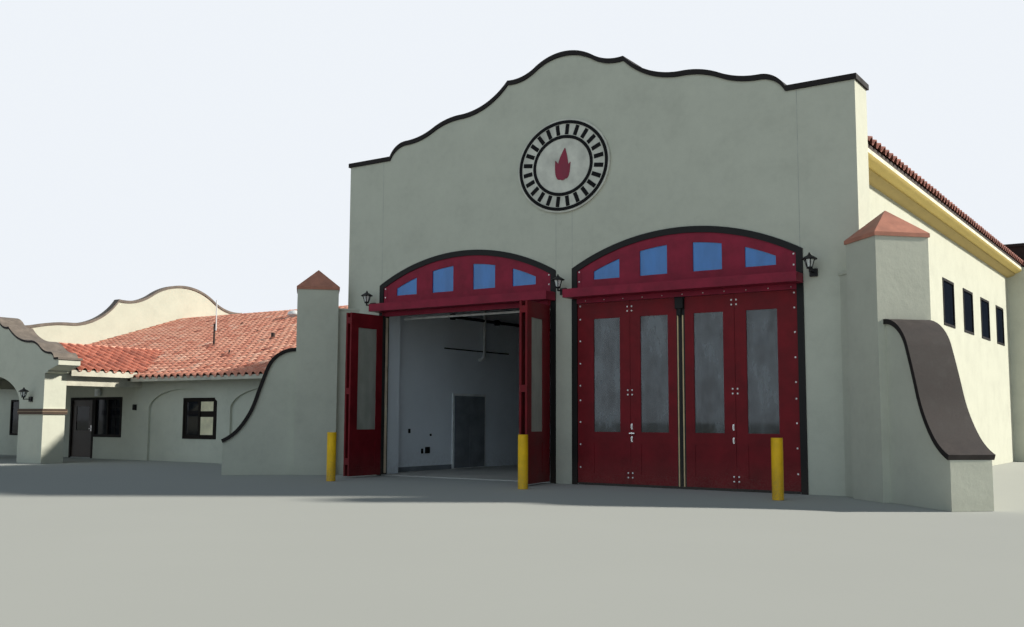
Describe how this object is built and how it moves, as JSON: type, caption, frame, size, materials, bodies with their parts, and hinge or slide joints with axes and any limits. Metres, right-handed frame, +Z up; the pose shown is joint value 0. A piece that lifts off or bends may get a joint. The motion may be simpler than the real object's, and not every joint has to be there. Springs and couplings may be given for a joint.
{
  "type": "fire station building",
  "caption": "Mission-style fire station with two engine bays behind a tall curved parapet wall, corner towers with buttresses, and a low tiled wing with an arched portico",
  "frame": {"origin": "centre of the bottom face of the pier between the two front bay doorways, on the ground", "axes": "+X to the right along the bay front, +Y into the building, +Z up"},
  "size_m": [39.8156, 26.6949, 10.36],
  "materials": {
    "stucco": "fine sanded stucco",
    "coping": "satin dark brown",
    "roof_tile": "fired clay",
    "cornice": "painted stucco",
    "fascia": "satin",
    "door_red": "satin maroon",
    "dark_trim": "satin",
    "cap_metal": "satin maroon",
    "glass": "clear",
    "frame": "satin bronze",
    "concrete": "trowelled",
    "sign": "satin",
    "lantern": "satin black",
    "lantern_glass": "frosted",
    "bollard": "safety yellow",
    "pipe": "matt",
    "rubber_strip": "matt"
  },
  "bodies": {
    "building": {"front_wall_piers": "stucco", "front_parapet": "stucco", "front_coping": "coping", "front_sign": "sign", "front_transom_panels": "door_red", "left_bay_doors": "door_red", "right_bay_doors": "door_red", "front_bay_glass": "glass", "rear_wall_piers": "stucco", "rear_parapet": "stucco", "rear_coping": "coping", "rear_bay_doors": "door_red", "rear_bay_glass": "glass", "bay_trims": "dark_trim", "door_headers": "door_red", "bay_wall_right": "stucco", "bay_wall_left": "stucco", "bay_cornices": "cornice", "bay_roof": "roof_tile", "bay_floor": "concrete", "corner_towers": "stucco", "tower_caps": "cap_metal", "link_walls": "stucco", "buttress_walls": "stucco", "buttress_copings": "coping", "wing_front_walls": "stucco", "wing_wall_over_entry": "stucco", "wing_wall_rear": "stucco", "wing_wall_end": "stucco", "wing_gable_wall": "stucco", "wing_gable_coping": "coping", "wing_roof": "roof_tile", "wing_fascias": "fascia", "wing_floor": "concrete", "portico_roof": "roof_tile", "portico_piers": "stucco", "portico_gable": "stucco", "portico_coping": "coping", "portico_ceiling": "fascia", "wing_roof_pipes": "pipe", "door_meeting_strips": "rubber_strip", "entry_frame": "frame", "window_frames": "frame", "window_glass": "glass", "lantern_frames": "lantern", "lantern_glass": "lantern_glass", "door_bollards": "bollard"},
    "door": {"entry_door": "door_red", "entry_door_glass": "glass"}
  },
  "joints": [
    {"name": "entry_door_hinge", "type": "hinge", "parent": "building", "child": "door", "pos_m": [-22.799, 1.805, 1], "axis": [0, 0, -1], "range_deg": [0, 90]}
  ]
}
